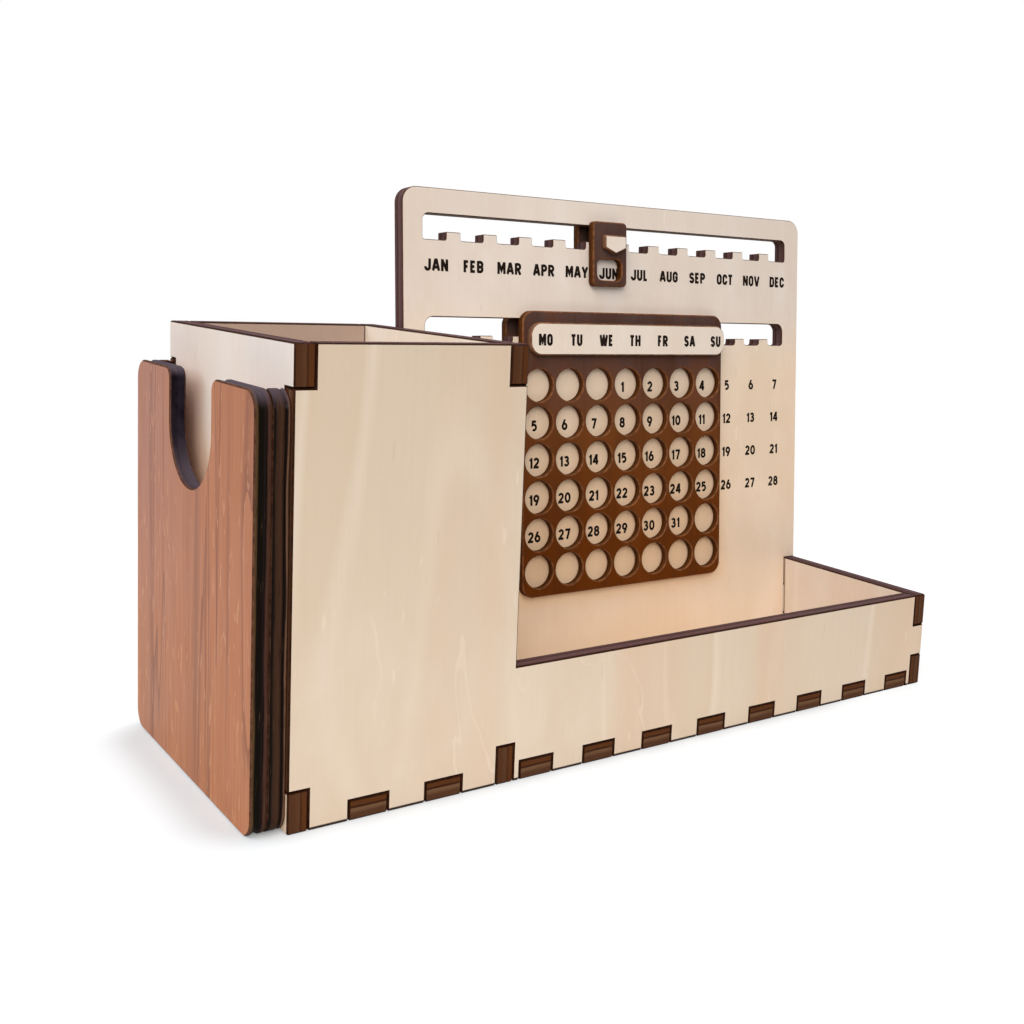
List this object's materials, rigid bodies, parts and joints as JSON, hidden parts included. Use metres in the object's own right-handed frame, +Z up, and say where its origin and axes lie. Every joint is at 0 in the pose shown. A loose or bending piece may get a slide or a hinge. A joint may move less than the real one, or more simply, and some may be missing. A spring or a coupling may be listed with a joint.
{
  "type": "desk organiser with perpetual calendar",
  "caption": "Plywood desk organiser with a tall pen box, an open tray, a leaning perpetual calendar with sliding month and date plates, and a side card pocket.",
  "frame": {"origin": "middle of the footprint's bounding box, on the face it rests on", "axes": "+X to the right seen from the front, +Y to the back, +Z up"},
  "size_m": [0.2274, 0.086, 0.1518],
  "materials": {
    "pale_plywood": "unvarnished birch plywood, laser-burnt dark brown edges",
    "walnut_plywood": "walnut-faced plywood, matt",
    "dark_walnut": "dark stained plywood, matt"
  },
  "bodies": {
    "organiser": {"front_panel": "pale_plywood", "left_wall": "pale_plywood", "divider_wall": "pale_plywood", "pen_back_wall": "pale_plywood", "pen_box_base": "pale_plywood", "tray_base": "pale_plywood", "right_end_panel": "pale_plywood", "calendar_panel": "pale_plywood", "card_spacer": "pale_plywood", "card_front_panel": "walnut_plywood"},
    "month_slider": {"month_tag": "dark_walnut", "month_arrow": "pale_plywood", "month_tongue": "dark_walnut", "month_rear_plate": "dark_walnut"},
    "date_slider": {"date_plate": "dark_walnut", "date_header": "pale_plywood", "date_tongue_left": "dark_walnut", "date_tongue_right": "dark_walnut", "date_rear_plate": "dark_walnut"}
  },
  "joints": [
    {"name": "month_slide", "type": "slide", "parent": "organiser", "child": "month_slider", "axis": [1, 0, 0], "range_m": [-0.0625, 0.0775]},
    {"name": "date_slide", "type": "slide", "parent": "organiser", "child": "date_slider", "axis": [1, 0, 0], "range_m": [-0.0349, 0.0351]}
  ]
}
